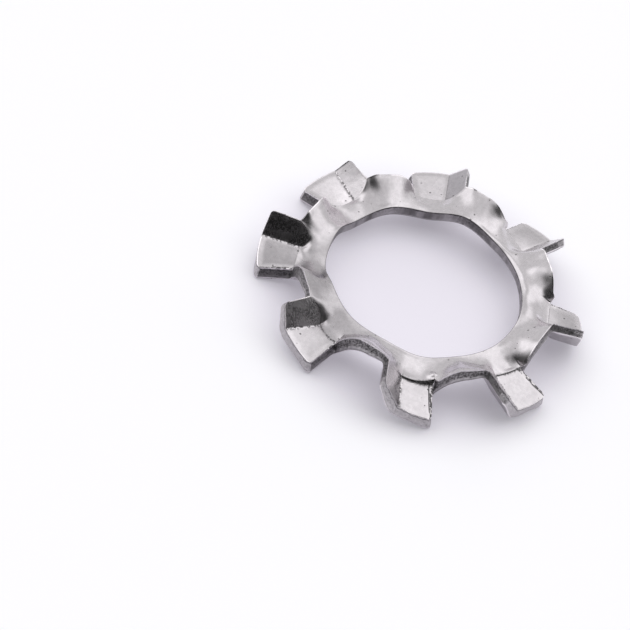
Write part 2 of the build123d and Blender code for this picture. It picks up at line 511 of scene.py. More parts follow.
# %% [markdown]
# ## Rows of the ring
# Rows needn't be even. Beside the bore and the outline they stand a few hundredths of a millimetre
# apart, because the burr and the rounding that come later need rows to bend; in between the metal
# is smooth, and few will do. On one side of the bore the punch also rolled the edge over. That
# narrow slope is cut into the innermost rows, and it shines as a thin crescent.

# %% Ring rows
inner_rows = np.array([0, 0.012, 0.035, 0.07, 0.12])
outer_rows = np.array([0.10, 0.06, 0.03, 0.012, 0])
middle_rows = 17
crisp_reach = 0.5
rolled_width, rolled_slope, rolled_place, rolled_spread = 0.13, 0.85, 120.0, 16.0


def rows_between(near_rows, far_rows, count, length):
    """Distances of rows along every column: some set from each end, and even ones between."""
    near = np.repeat(near_rows[:, None], len(length), 1)
    share = np.linspace(0, 1, count + 2)[1:-1, None]
    middle = near_rows[-1] + (length - near_rows[-1] - far_rows[0]) * share
    return np.concatenate([near, middle, length - far_rows[:, None]])


length = column_r - bore_r
ring_out = rows_between(inner_rows, outer_rows, middle_rows, length)
ring_r = bore_r + ring_out
ring_angle = np.broadcast_to(column_angle, ring_r.shape)
ring_z = ring_height(ring_r, ring_angle, edge_soft)
crisp = ease(1 - (length - ring_out) / crisp_reach)
ring_z = ring_z + (column_z - ring_height(column_r, column_angle, edge_soft)) * crisp
rolled = bell((ring_angle % 360 - rolled_place) / rolled_spread)
ring_z = ring_z - rolled * rolled_slope * np.maximum(rolled_width - ring_out, 0)
ring_x, ring_y = ring_r * np.cos(np.radians(ring_angle)), ring_r * np.sin(np.radians(ring_angle))
ring_top = np.stack([ring_x, ring_y, ring_z + swell_height(ring_x, ring_y)], -1)
print("ring rows and columns:", ring_top.shape[:2])

# %% [markdown]
# ## The teeth
# Tooth columns go on past the root line to the tip. The first row lies just past the line and at
# the bottom of the step, so the step itself is one steep strip. The tip's corners are rounded by
# ending the outer columns a little early.

# %% Tooth rows
root_rows = np.array([0.02, 0.045, 0.08, 0.13])
tooth_middle_rows = 23
tip_corner = 0.17
wing_tip_width = 1.15


def turned(points, degrees):
    """Points turned about the bore's axis."""
    c, s = math.cos(math.radians(degrees)), math.sin(math.radians(degrees))
    x, y = points[..., 0], points[..., 1]
    return np.stack([c * x - s * y, s * x + c * y, points[..., 2]], -1)


tooth_tops = []
for tooth, at in enumerate(all_corners):
    root, tip = tooth_point(at, 0.0, tooth_across), tooth_point(at, 1.0, tooth_across)
    run = np.linalg.norm(tip - root, axis=1)
    width = np.where(tooth_across > 0, at["pad_tip"][1] - at["fold_tip"][1], wing_tip_width)
    aside = np.clip(tip_corner - width * (1 - np.abs(tooth_across)), 0, tip_corner)
    stop = run - (tip_corner - np.sqrt(tip_corner**2 - aside**2))
    out = rows_between(root_rows, outer_rows, tooth_middle_rows, stop)
    tooth_tops.append(turned(tooth_point(at, out / run, tooth_across[None, :]), tooth * pitch))
tooth_tops = np.array(tooth_tops)
print("tooth rows and columns:", tooth_tops.shape[1:3])

# %% [markdown]
# ## The back of the sheet
# The back isn't a copy of the front. It is the front without its crisp step, moved down square
# to the surface by the sheet's thickness, so that the fold turns into a rounded ridge and the
# sheared walls stand square to the metal. Where a tooth was lanced free, its two sides were
# dragged by the punch, and there the back leans away from the square direction.

# %% The sheet without its steps
tooth_middle = 3.0
ring_reach = 6.1
tooth_from, tooth_blend = 5.15, 0.38
pad_out, pad_side = (5.55, 7.03), (1.33, 1.66)
wing_side, wing_limit = -0.75, -0.78
spare, pad_fade, wing_fade = 0.12, 0.25, 0.60


def beside_tooth(x, y):
    """The nearest tooth to each point, and the point in that tooth's frame."""
    nearest = np.round(((np.degrees(np.arctan2(y, x)) - tooth_middle) % 360) / pitch).astype(int) % teeth
    turn = np.radians(nearest * pitch)
    return nearest, x * np.cos(turn) + y * np.sin(turn), y * np.cos(turn) - x * np.sin(turn)


def sheet_height(x, y):
    """The sheet's smooth upper surface over any point, without the step."""
    height = ring_height(np.minimum(np.hypot(x, y), ring_reach), np.degrees(np.arctan2(y, x)), edge_under)
    height += swell_height(x, y)
    nearest, local_x, local_y = beside_tooth(x, y)
    for tooth in range(teeth):
        pick = nearest == tooth
        out, side = local_x[pick], local_y[pick]
        beyond = np.maximum(side - np.interp(out, pad_out, pad_side), wing_side - side)
        fade = np.where(side < 0, wing_fade, pad_fade)
        share = ease((out - tooth_from) / tooth_blend) * ease(1 - (beyond - spare) / fade)
        plane = tooth_height(all_corners[tooth], out, np.maximum(side, wing_limit))
        height[pick] = mix(height[pick], plane, share)
    return height


print("sheet over the first fold:", np.round(sheet_height(np.array([5.0, 6.0, 7.0]), np.zeros(3)), 2))

# %% Back surface
slope_reach = 0.09
wing_drop, pad_drop = (-0.20, -0.33), (0.12, -0.55)
lean_fade = 0.5
wing_lean_from, wing_lean_over, wing_lean_end = 0.1, 0.85, -0.85
pad_lean_from, pad_lean_end = 0.8, 1.8
pad_lean_out, pad_lean_blend = 5.05, 0.45
bore_reach, bore_share = 0.5, 0.97


def back_of(top):
    """The top moved through the sheet: square to it, but leaning at the edges that were lanced."""
    x, y = top[..., 0], top[..., 1]
    slope_x = (sheet_height(x + slope_reach, y) - sheet_height(x - slope_reach, y)) / (2 * slope_reach)
    slope_y = (sheet_height(x, y + slope_reach) - sheet_height(x, y - slope_reach)) / (2 * slope_reach)
    normal = np.stack([-slope_x, -slope_y, np.ones_like(x)], -1)
    move = -normal / np.linalg.norm(normal, axis=-1, keepdims=True) * sheet
    nearest, out, side = beside_tooth(x, y)
    turn = np.radians(nearest * pitch)
    aside = np.stack([-np.sin(turn), np.cos(turn), 0 * x], -1)
    on_wing = ease((wing_lean_from - side) / wing_lean_over) * ease((out - tooth_from) / lean_fade)
    on_wing = on_wing * ease(1 - (wing_lean_end - side) / lean_fade)
    on_pad = ease((side - pad_lean_from) / lean_fade) * ease((out - pad_lean_out) / pad_lean_blend)
    on_pad = on_pad * ease(1 - (side - pad_lean_end) / lean_fade)
    for share, (drop_aside, drop_down) in ((on_wing, wing_drop), (on_pad, pad_drop)):
        lanced_move = aside * drop_aside + np.array([0, 0, drop_down])
        move = mix(move, lanced_move, share[..., None])
    return np.stack([x, y, sheet_height(x, y)], -1) + move


straight = ring_top.copy()
straight[..., 2] = sheet_height(ring_top[..., 0], ring_top[..., 1]) - sheet * bore_share
ring_under = mix(back_of(ring_top), straight, ease(1 - ring_out / bore_reach)[..., None])
tooth_unders = np.array([back_of(top) for top in tooth_tops])
print("lowest point:", round(float(tooth_unders[..., 2].min()), 3))

# %% [markdown]
# ## Where a gap meets a wing
# In its last few degrees a gap's edge runs up into a steep wing. Square to such a twisted surface
# the back would swing about faster than the front, and the wall between them would crumple. The
# punch shears there in one plain stroke, so the move from front to back is evened out instead: it
# goes steadily from what it is in the gap to what it is at the wing's corner.

# %% Even the wing corners
even_from, even_reach = 30.5, 0.45
edge_move = ring_under[-1] - ring_top[-1]
evened = edge_move.copy()
for tooth in range(teeth):
    gap = np.arange(gap_columns) + tooth * block + tooth_columns
    gap = gap[column_angle[gap] - tooth * pitch > even_from]
    corner = (gap[-1] + 1) % columns
    turn_left = (column_angle[corner] - column_angle[gap]) % 360
    share = 1 - turn_left / turn_left[0]
    evened[gap] = mix(edge_move[gap[0]], edge_move[corner], share[:, None])
even_share = ease(1 - (length - ring_out) / even_reach)[..., None]
ring_under += (evened - edge_move) * even_share
print("largest change of the edge:", round(float(np.abs(evened - edge_move).max()), 3))

# %% [markdown]
# ## Traces of the tool
# A worn punch treats no two teeth alike. Each list below says how strong one trace is, tooth by
# tooth: burr beads along the lanced edge, the dark lines at the root (specks and painted shade)
# and along the fold, and how scuffed the wing is. Three lists darken the pad, the wing and the
# walls with painted shade; where one is below 0 it brightens them with a painted highlight. One
# side of the ring is darkened with painted shade too.

# %% Traces, tooth by tooth
bead_amounts = (1.0, 0.9, 0.3, 0.2, 0.15, 0.3, 0.7, 0.3)
root_line_amounts = (1.0, 0.8, 0.4, 0.3, 0.4, 0.4, 0.1, 0.7)
fold_line_amounts = (0.9, 0.6, 0.4, 0.5, 0.3, 0.9, 0.9, 1.0)
# Painted shade on each pad, wing and wall, tooth by tooth, and a painted highlight where a value is below 0.
pad_painted_light = (0.2, 0.15, 0.5, 0.4, -0.6, -0.9, 1.0, 0.5)
wing_painted_light = (0.2, 0.2, 0.2, 0.2, 1.1, -0.7, 1.3, 1.1)
wing_scuffs = (1.0, 1.0, 1.0, 1.0, 0.4, 0.25, 1.0, 1.0)
wall_painted_light = (0.2, 0.0, 0.1, 0.3, 0.5, 1.0, 1.2, 0.5)
# A patch of painted shade on one side of the ring.
ring_painted_shade_amount, ring_shade_place, ring_shade_spread = 0.8, 301.0, 22.0
print("tooth with the darkest wing:", int(np.argmax(wing_painted_light)))

# %% [markdown]
# ## Sheared edges
# A punch cuts sheet in two stages: it first shears cleanly, which leaves a smooth band, and then
# the rest tears off, which leaves a rough one with a small ragged burr along the face where the
# tool comes out. The lip, the rough band and the rounding of the far edge are shaped here in the
# mesh, because they catch the light on every edge of a small part.

# %% Helpers for edges
lip_height, lip_width = 0.016, 0.022
roll_radius = 0.07
faint_shift = 0.09


def ragged(points, scale, seed):
    """Noise from -1 to 1 over points."""
    flat = points.reshape(-1, 3)
    values = [noise.noise((p[0] * scale + seed, p[1] * scale, p[2] * scale)) for p in flat]
    return np.array(values).reshape(points.shape[:-1])


def burr_along(points, layers):
    """The burr's height, about 1, roughened by layers of an amount, a scale and a seed."""
    height = 1.0
    for amount, scale, seed in layers:
        height = height + amount * ragged(points, scale, seed)
    return height


def finish_edges(top, under, distance, burr):
    """Raises the top's lip and rounds the back's edge, by the distance from the outline."""
    top[..., 2] += lip_height * burr * np.exp(-((distance / lip_width) ** 2))
    inside = np.clip(roll_radius - distance, 0, roll_radius)
    lift = roll_radius - np.sqrt(roll_radius**2 - inside**2)
    way = top - under
    under += way / np.linalg.norm(way, axis=-1, keepdims=True) * lift[..., None]


def fainter(distance, amount):
    """A distance from a line, stretched and shifted so that the line comes out weaker."""
    return distance / amount + faint_shift * (1 - amount)


print("burr height:", lip_height, "rounding:", roll_radius)

# %% Edges of the ring
ring_burr = ((0.8, 3.0, 5.0), (0.6, 9.0, 2.0))
bore_burr = 0.25
in_tooth = np.abs(column_across) <= 1
corner_gap = np.full(columns, nowhere)
for tooth in range(teeth):
    for corner in (tooth * block, tooth * block + tooth_columns - 1):
        away = ring_top[-1, :, :2] - ring_top[-1, corner, :2]
        corner_gap = np.minimum(corner_gap, np.hypot(away[:, 0], away[:, 1]))
out_distance = np.hypot(np.maximum(length - ring_out, 0), np.where(in_tooth, corner_gap, 0.0))
burr = burr_along(ring_top, ring_burr)
burr = np.where(ring_out < out_distance, burr * bore_burr, burr)
finish_edges(ring_top, ring_under, np.minimum(out_distance, ring_out), burr)
print("vertices on the ring's lip:", int((out_distance < lip_width).sum()))

# %% [markdown]
# ## Edges and lines of the teeth
# On a tooth the burr is coarser, and along the lanced side of the pad it gathers into a row of
# small beads. For the finish, each vertex also notes how far it is from the outline, the fold, the
# root and the lanced edge. These could be painted as masks, but measured here they follow every
# bend of the metal, and the worn lines and the painted shade can use the same distances.

# %% Edges of the teeth
tooth_burr = ((0.9, 3.0, 1.0), (0.7, 11.0, 3.0))
bead_height, bead_place, bead_from_root = 0.065, 0.05, 0.3
bead_floor, bead_gain, bead_scale, bead_seed = 0.45, 1.1, 5.0, 7.0
shade_from_edge, shade_edge_blend = 0.16, 0.18
shade_from_fold, shade_fold_blend = 0.05, 0.15
wing_edge_blend = 0.1
wing_fold_factor = 2.5
on_pad = tooth_across > 0
fold_column = np.argmin(np.abs(tooth_across))
tooth_marks = []
for tooth, (top, under) in enumerate(zip(tooth_tops, tooth_unders)):
    to_tip = np.linalg.norm(top - top[-1], axis=-1)
    to_pad = np.linalg.norm(top - top[:, -1:], axis=-1)
    to_wing = np.linalg.norm(top - top[:, :1], axis=-1)
    to_fold = np.linalg.norm(top - top[:, fold_column][:, None], axis=-1)
    to_root = np.linalg.norm(top - top[:1], axis=-1)
    distance = np.minimum(np.minimum(to_tip, to_pad), to_wing)
    burr = burr_along(top, tooth_burr)
    bead = bead_height * np.exp(-(((to_pad - bead_place) / bead_place) ** 2)) * ease(to_root / bead_from_root)
    beaded = np.maximum(bead_floor + bead_gain * ragged(top, bead_scale, bead_seed), 0)
    top[..., 2] += bead_amounts[tooth] * bead * beaded
    finish_edges(top, under, distance, burr)

    # A pad's painted shade lies in its middle, away from its edges and its fold.
    inner = ease((distance - shade_from_edge) / shade_edge_blend)
    painted_light = inner * ease((to_fold - shade_from_fold) / shade_fold_blend) * pad_painted_light[tooth]
    fold_side = np.where(tooth_across >= 0, to_fold, wing_fold_factor * to_fold)
    tooth_marks.append(
        {
            "edge": distance,
            "fold": fainter(fold_side, fold_line_amounts[tooth]),
            "root": np.where(on_pad, fainter(to_root, root_line_amounts[tooth]), nowhere),
            "lance": np.where(on_pad, to_pad / bead_amounts[tooth], nowhere),
            "painted_light": np.where(on_pad, painted_light, wing_painted_light[tooth] * ease(distance / wing_edge_blend)),
            "wing": np.where(tooth_across < 0, wing_scuffs[tooth], 0.0) * np.ones_like(distance),
        }
    )
print("highest bead:", round(float(tooth_tops[..., 2].max()), 3))

# %% [markdown]
# ## Vertices and their marks
# The grids are numbered once: ring top, ring back, then each tooth's top and back. Each vertex
# also gets a few plain numbers, such as how far it is from an edge or from a fold. The mesh will
# carry them as attributes, and the finish can then follow the real edges and seams of the metal,
# which a texture laid over the part could only guess.

# %% Vertices and marks
ring_rows, tooth_rows = len(ring_top), tooth_tops.shape[1]
ring_size, tooth_size = ring_rows * columns, tooth_rows * tooth_columns
mark_defaults = {
    "edge": 0.0,
    "fold": nowhere,
    "root": nowhere,
    "lance": nowhere,
    "bore": nowhere,
    "wall": 0.0,
    "cut": 0.0,
    "back": 0.0,
    "painted_light": 0.0,
    "wing": 0.0,
}
marks = {name: [] for name in mark_defaults}


def add_marks(count, given):
    """Keeps every mark for so many new vertices: the given ones, and defaults for the rest."""
    for name, default in mark_defaults.items():
        marks[name].append(np.ravel(given.get(name, default)) * np.ones(count))


line_amount = np.array(root_line_amounts)[column_tooth]
root_line = np.where((column_across > 0) & in_tooth, fainter(length - ring_out, line_amount), nowhere)
# The patch of painted shade on one side of the ring.
ring_painted_shade = ring_painted_shade_amount * bell((ring_angle % 360 - ring_shade_place) / ring_shade_spread)
add_marks(ring_size, {"edge": out_distance, "root": root_line, "bore": ring_out, "painted_light": ring_painted_shade})
add_marks(ring_size, {"edge": out_distance, "bore": ring_out, "back": 1.0})
vertices = [ring_top.reshape(-1, 3), ring_under.reshape(-1, 3)]
for top, under, given in zip(tooth_tops, tooth_unders, tooth_marks):
    add_marks(tooth_size, given)
    add_marks(tooth_size, {"edge": given["edge"], "back": 1.0})
    vertices += [top.reshape(-1, 3), under.reshape(-1, 3)]
every = np.concatenate(vertices)
print("vertices:", len(every), "marks on each:", len(marks))

# %% Faces of both sides
def ring_id(row, column, back=0):
    return back * ring_size + row * columns + column % columns


def tooth_id(tooth, row, column, back=0):
    return 2 * ring_size + (2 * tooth + back) * tooth_size + row * tooth_columns + column


def quads_of(grid, back):
    """The quads of a grid of vertex numbers, turned over for the back."""
    square = [grid[:-1, :-1], grid[1:, :-1], grid[1:, 1:], grid[:-1, 1:]]
    return np.stack(square[::-1] if back else square, -1).reshape(-1, 4)


quads = []
for back in (0, 1):
    quads.append(quads_of(ring_id(*np.indices((ring_rows, columns + 1)), back), back))
    for tooth in range(teeth):
        root_ids = ring_id(ring_rows - 1, tooth * block + np.arange(tooth_columns), back)
        tooth_ids = tooth_id(tooth, *np.indices((tooth_rows, tooth_columns)), back)
        quads.append(quads_of(np.concatenate([root_ids[None], tooth_ids]), back))
print("quads on both sides:", sum(len(q) for q in quads))

# %% [markdown]
# ## One closed mesh
# The outline is walked anticlockwise, up one side of a tooth, across its tip and back down, and
# then along the gap. It also notes how each stretch was cut, because that shows on a wall: the
# blank was punched out first, and the sides of the teeth were lanced later, through bent metal. A
# strip of wall will be hung between top and back all the way round, and one more in the bore.

# %% Outline
in_gap, lanced, blanked, bored = 0.0, 0.25, 1.0, -1.0
cut_change, cut_blend = 0.70, 0.12
painted_fade_run, painted_fade_return, painted_fade_blend = 0.2, 0.85, 0.15
row_share = np.arange(tooth_rows) / (tooth_rows - 1)
gap_share = np.linspace(0, 1, gap_columns + 1)
wing_cut = mix(lanced, blanked, ease((row_share - cut_change) / cut_blend))
outline, outline_cut, outline_painted_light = [], [], []
for tooth in range(teeth):
    first = tooth * block
    last = tooth_columns - 1
    outline.append(ring_id(ring_rows - 1, first))
    outline += [tooth_id(tooth, row, 0) for row in range(tooth_rows)]
    outline += [tooth_id(tooth, tooth_rows - 1, column) for column in range(1, last)]
    outline += [tooth_id(tooth, row, last) for row in reversed(range(tooth_rows))]
    outline += [ring_id(ring_rows - 1, first + last + step) for step in range(gap_columns + 1)]
    outline_cut += [in_gap, *wing_cut] + [blanked] * (last - 1)
    outline_cut += [lanced] * tooth_rows + [in_gap] * (gap_columns + 1)
    # A wall's painted shade, by tooth, fading out along the gap while the next tooth's fades in.
    painted_light, next_painted_light = wall_painted_light[tooth], wall_painted_light[(tooth + 1) % teeth]
    outline_painted_light += [painted_light] * (2 * tooth_rows + last)
    fading, coming = ease(1 - gap_share / painted_fade_run), ease((gap_share - painted_fade_return) / painted_fade_blend)
    outline_painted_light += list(painted_light * fading + next_painted_light * coming)
outline, outline_cut, outline_painted_light = np.array(outline), np.array(outline_cut), np.array(outline_painted_light)
bore_line = ring_id(0, np.arange(columns)[::-1])
print("outline points:", len(outline), "bore points:", len(bore_line))

# %% [markdown]
# ## A back without creases
# On the inside of a tight bend the back's rows come close together and can even fold over each
# other, where real metal just thickens. Many small rounds of relaxing cure that: each loose vertex
# moves up to half the way to the middle of its neighbours. The rim of the bore and the outer parts of
# the teeth are already even, so only the vertices between them are loose, and those on the
# outline slide along it.

# %% Relax the back
relax_rounds, relax_step = 50, 0.5
loose_from, loose_blend, loose_rows = 4.75, 0.3, 7


def back_id(top_id):
    """The vertex on the back that lies under one on the top."""
    return np.where(top_id < ring_size, top_id + ring_size, top_id + tooth_size)


loose = np.zeros(len(every))
ring_back = slice(ring_size, 2 * ring_size)
loose[ring_back] = ease((np.hypot(every[ring_back, 0], every[ring_back, 1]) - loose_from) / loose_blend)
for tooth in range(teeth):
    first = tooth_id(tooth, 0, 0, back=1)
    row_loose = ease(1 - np.arange(tooth_rows) / loose_rows)
    loose[first : first + tooth_size] = np.repeat(row_loose, tooth_columns)
back_quads = np.concatenate(quads[len(quads) // 2 :])
ends_a, ends_b = back_quads.T.ravel(), np.roll(back_quads, -1, 1).T.ravel()
met = np.bincount(ends_a, minlength=len(every)) + np.bincount(ends_b, minlength=len(every))
rim_line = back_id(outline)
for _ in range(relax_rounds):
    middle = every.copy()
    for axis in range(3):
        total = np.bincount(ends_a, every[ends_b, axis], len(every))
        total += np.bincount(ends_b, every[ends_a, axis], len(every))
        middle[:, axis] = np.where(met > 0, total / np.maximum(met, 1), every[:, axis])
    middle[rim_line] = (every[np.roll(rim_line, 1)] + every[np.roll(rim_line, -1)]) / 2
    every += relax_step * loose[:, None] * (middle - every)
print("relaxed vertices on the back:", int((loose > 0).sum()))

# %% [markdown]
# ## Walls
# The cut metal shows between the two edges. One row of quads would close the mesh, but then the
# wall would be perfectly flat, so rows at nine levels lead from the top down to the back. In the
# upper half they are pushed in a little and roughened by noise, where the metal tore, and below
# that only slightly. Each wall vertex also notes how far down it is and how it was cut.

# %% Walls
wall_levels = np.array([0.03, 0.10, 0.20, 0.32, 0.44, 0.54, 0.62, 0.74, 0.88])
tear_level, tear_wave, tear_blend, tear_depth = 0.56, 0.06, 0.08, 0.012
outline_grain, bore_grain, smooth_share = 0.012, 0.006, 0.3
fine_grain, grain_squash = 0.6, (1, 1, 0.5)
calm_level = 0.1
wall_start = 0.3


def hang_wall(every, line, rough, cut, painted_light):
    """Adds rows of wall between the top and back vertices of a closed line."""
    top, under = every[line], every[back_id(line)]
    outward = np.cross(np.roll(top, -1, 0) - np.roll(top, 1, 0), top - under)
    outward /= np.linalg.norm(outward, axis=1, keepdims=True)
    start, count = len(every), len(line)
    for level in wall_levels:
        place = mix(top, under, level)
        torn = ease((tear_level - level + tear_wave * ragged(top, 2.0, 9.0)) / tear_blend)
        grain = ragged(place * grain_squash, 9.0, 4.0) + fine_grain * ragged(place, 22.0, 8.0)
        push = -tear_depth * torn + rough * (smooth_share + torn) * grain * min(1.0, level / calm_level)
        every = np.concatenate([every, place + outward * push[:, None]])
        add_marks(count, {"wall": wall_start + (1 - wall_start) * level, "cut": cut, "painted_light": painted_light})
    added = [start + n * count + np.arange(count) for n in range(len(wall_levels))]
    rows = [line, *added, back_id(line)]
    for upper, lower in zip(rows[:-1], rows[1:]):
        quads.append(np.stack([upper, lower, np.roll(lower, -1), np.roll(upper, -1)], -1))
    return every


every = hang_wall(every, outline, outline_grain, outline_cut, outline_painted_light)
every = hang_wall(every, bore_line, bore_grain, bored, 0.0)
print("vertices:", len(every), "quads:", sum(len(q) for q in quads))

# %% [markdown]
# ## The mesh
# Vertices, quads and marks now become one object. It is shaded smooth throughout, because every
# crisp edge already has narrow rows of its own beside it, which bend the light as a real small
# rounding does. From here on lengths are in metres. The mesh rides on the frame's only body and
# stands in for the CAD washer, so that its place is still the one the CAD gives.

# %% Mesh
washer_mesh = bpy.data.meshes.new("washer")
washer_mesh.from_pydata((every * mm).tolist(), [], np.concatenate(quads).tolist())
washer_mesh.shade_smooth()
washer = bpy.data.objects.new("washer", washer_mesh)
bpy.context.scene.collection.objects.link(washer)
for name, values in marks.items():
    store = washer_mesh.attributes.new(name, "FLOAT", "POINT")
    store.data.foreach_set("value", np.concatenate(values).astype(np.float32))
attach(washer, "root")
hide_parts("lock_washer")
low, high = every.min(0), every.max(0)
print("size, mm:", np.round(low, 3), np.round(high, 3), "triangles:", 2 * sum(len(q) for q in quads))

# %% [markdown]
# ## Satin steel
# The washer is bare spring steel that was tumbled after stamping, so it is neither a mirror nor
# evenly dull: it shines softly, with cloudy patches, fine grain and small pits. A real finish like
# that is one material whose roughness and relief vary. It could be painted as an image, but noise
# textures in the metal's own space need no unwrapping and stay sharp at any distance. A few short
# helpers first: sums, soft steps, noise, and the marks that the mesh carries.

# %% Helpers for any material
def plug(value, socket):
    """Sets a socket to a number, or links another node's output to it."""
    if isinstance(value, bpy.types.NodeSocket):
        socket.id_data.links.new(value, socket)
    else:
        socket.default_value = value


def calc(operation, *values):
    """The result of one sum; each value is a number or a node's output."""
    tree = next(value.id_data for value in values if isinstance(value, bpy.types.NodeSocket))
    node = tree.nodes.new("ShaderNodeMath")
    node.operation = operation
    for value, socket in zip(values, node.inputs):
        plug(value, socket)
    return node.outputs[0]


def times(a, b):
    return calc("MULTIPLY", a, b)


def scaled(value, factor, more):
    """value * factor + more."""
    return calc("MULTIPLY_ADD", value, factor, more)


def less(value):
    """What is left of 1."""
    return calc("SUBTRACT", 1.0, value)


def ramp(value, low, high, at_low=0.0, at_high=1.0):
    """A soft step from one result to another, while the value goes from low to high."""
    node = value.id_data.nodes.new("ShaderNodeMapRange")
    node.interpolation_type = "SMOOTHSTEP"
    for number, socket in zip((value, low, high, at_low, at_high), node.inputs):
        plug(number, socket)
    return node.outputs["Result"]


def near(distance, full, gone, amount=1.0):
    """An amount beside a line: whole up to one distance, nothing past another."""
    return ramp(distance, full, gone, amount, 0.0)


def between(share, a, b):
    """a where the share is 0, b where it is 1."""
    node = share.id_data.nodes.new("ShaderNodeMix")
    for value, name in ((share, "Factor"), (a, "A"), (b, "B")):
        plug(value, node.inputs[name])
    return node.outputs[0]


print("helpers:", [helper.__name__ for helper in (calc, times, scaled, less, ramp, near, between)])

# %% Noise and marks for the steel
steel = bpy.data.materials.new("satin_steel")
steel.use_nodes = True
tree = steel.node_tree
shader = tree.nodes["Principled BSDF"]
place_mm = tree.nodes.new("ShaderNodeVectorMath")
place_mm.operation = "SCALE"
place_mm.inputs["Scale"].default_value = 1 / mm
tree.links.new(tree.nodes.new("ShaderNodeTexCoord").outputs["Object"], place_mm.inputs[0])


def cloud(scale, detail=2.0, stretch=None, offset=0.0):
    """Noise from 0 to 1 over the metal; scale is in blobs per millimetre."""
    place = place_mm.outputs[0]
    if stretch or offset:
        mapping = tree.nodes.new("ShaderNodeMapping")
        tree.links.new(place, mapping.inputs["Vector"])
        mapping.inputs["Scale"].default_value = stretch or (1, 1, 1)
        mapping.inputs["Location"].default_value = (offset, offset, offset)
        place = mapping.outputs[0]
    node = tree.nodes.new("ShaderNodeTexNoise")
    tree.links.new(place, node.inputs["Vector"])
    node.inputs["Scale"].default_value = scale
    node.inputs["Detail"].default_value = detail
    return node.outputs["Fac"]


def mark(name):
    """One of the numbers that the mesh carries."""
    node = tree.nodes.new("ShaderNodeAttribute")
    node.attribute_name = name
    return node.outputs["Fac"]


print("nodes so far:", len(tree.nodes))

# %% [markdown]
# ## Pits, seams and beads
# Small pits are scattered everywhere on the faces, and specks crowd together where a punch pressed
# the metal: along the folds and under the step at a pad's root, where painted shade darkens the
# metal too. A row of burr beads lines each pad's lanced edge, with painted shade at its foot and
# between the beads, and a painted highlight follows the outline as a bright line.
# Each one is a mask between 0 and 1, so that colour, roughness and relief can all use it. A pit is
# the middle of a random cell, and only a cell with a high random number has one.

# %% Masks for the faces
pit_cells, pit_growth, pit_start = 3.6, 0.44, -0.25
pit_strength, root_strength = 0.85, 0.7
gap_strength, line_strength = 0.8, 0.75
cells = tree.nodes.new("ShaderNodeTexVoronoi")
tree.links.new(place_mm.outputs[0], cells.inputs["Vector"])
cells.inputs["Scale"].default_value = pit_cells
pick = tree.nodes.new("ShaderNodeSeparateColor")
tree.links.new(cells.outputs["Color"], pick.inputs[0])
pit_size = scaled(pick.outputs["Red"], pit_growth, pit_start)
pits = near(calc("SUBTRACT", cells.outputs["Distance"], pit_size), -0.03, 0.04)
fold_seam, root_seam = near(mark("fold"), 0.0, 0.20), near(mark("root"), 0.0, 0.16)
worked = calc("MAXIMUM", fold_seam, times(root_seam, root_strength))
seam_specks = times(worked, ramp(cloud(9.0, 1.0, offset=3.0), 0.46, 0.60))
pits = calc("MAXIMUM", times(pits, pit_strength), seam_specks)
# Painted shade under the step at a pad's root.
root_step_shade = near(mark("root"), 0.0, 0.07, 0.8)
lance = mark("lance")
# Painted shade in the gaps between the beads and along the foot of their row; in the relief the gaps are
# dents as well.
bead_gaps = times(near(lance, 0.13, 0.17), ramp(cloud(8.5, 1.0, offset=7.0), 0.50, 0.55))
bead_line = times(ramp(lance, 0.12, 0.15), near(lance, 0.16, 0.20))
bead_line = times(bead_line, ramp(cloud(3.0, 2.0, offset=11.0), 0.40, 0.52))
bead_shade_and_dents = calc("MAXIMUM", times(bead_gaps, gap_strength), times(bead_line, line_strength))
near_edge = near(mark("edge"), 0.028, 0.052)
# Painted shade along the rim of the bore.
bore_rim_shade = near(mark("bore"), 0.010, 0.030, 0.55)
cloudy = ramp(cloud(1.7, 3.0), 0.35, 0.68)
print("nodes with the masks for the faces:", len(tree.nodes))

# %% [markdown]
# ## Torn and smooth walls
# Between two teeth a sheared wall has a painted highlight along its top, then a torn dark band, and
# is smooth below. The lanced sides of the teeth are darker and more even. The tips were cut while
# the blank was still flat: they stay light, with one thin dark line. In the bore the wall has
# painted shade at its top and is cloudy below. The mesh's numbers "wall" and "cut" say how far down
# a point is and on which of these four it is. A texture of its own for each wall would have seams
# at the corners, and soft steps between the four shades have none.

# %% Masks and shades for the walls
wall, cut = mark("wall"), mark("cut")
is_wall = ramp(wall, 0.05, 0.3)
is_tip = ramp(cut, 0.3, 0.7)
is_bore = ramp(cut, -0.3, -0.7)
is_lanced = ramp(cut, 0.05, 0.2, 0.0, 0.55)
wavy = scaled(calc("SUBTRACT", cloud(5.0, 3.0), 0.5), 0.30, wall)
torn = near(wavy, 0.75, 0.82)
flecks = ramp(cloud(13.0, 2.0, offset=2.0), 0.42, 0.62)
streaks = ramp(cloud(7.0, 3.0, stretch=(1, 1, 0.2)), 0.3, 0.7)
smooth_shade, torn_shade = ramp(streaks, 0.0, 1.0, 0.50, 0.68), ramp(flecks, 0.0, 1.0, 0.46, 0.18)
gap_shade = between(torn, smooth_shade, torn_shade)
gap_shade = between(is_lanced, gap_shade, ramp(flecks, 0.0, 1.0, 0.50, 0.32))
# Painted shade on the walls, tooth by tooth.
gap_shade = times(gap_shade, scaled(mark("painted_light"), -0.45, 1.0))
# A painted highlight along the top of the wall.
gap_shade = between(near(wall, 0.36, 0.40), gap_shade, 1.15)
tip_line = times(ramp(wavy, 0.36, 0.40), near(wavy, 0.42, 0.47))
tip_shade = between(tip_line, ramp(flecks, 0.0, 1.0, 0.86, 0.76), 0.30)
bore_clouds = ramp(cloud(1.4, 3.0, stretch=(1, 1, 0.3)), 0.34, 0.62, 0.24, 0.60)
# Painted shade at the top of the bore wall.
bore_shade = between(near(wavy, 0.36, 0.46), bore_clouds, 0.14)
wall_shade = between(is_bore, between(is_tip, gap_shade, tip_shade), bore_shade)
# A painted highlight: a bright line on the faces along the outline.
painted_edge_highlight = times(near_edge, less(is_wall))
print("nodes with the masks for the walls:", len(tree.nodes))
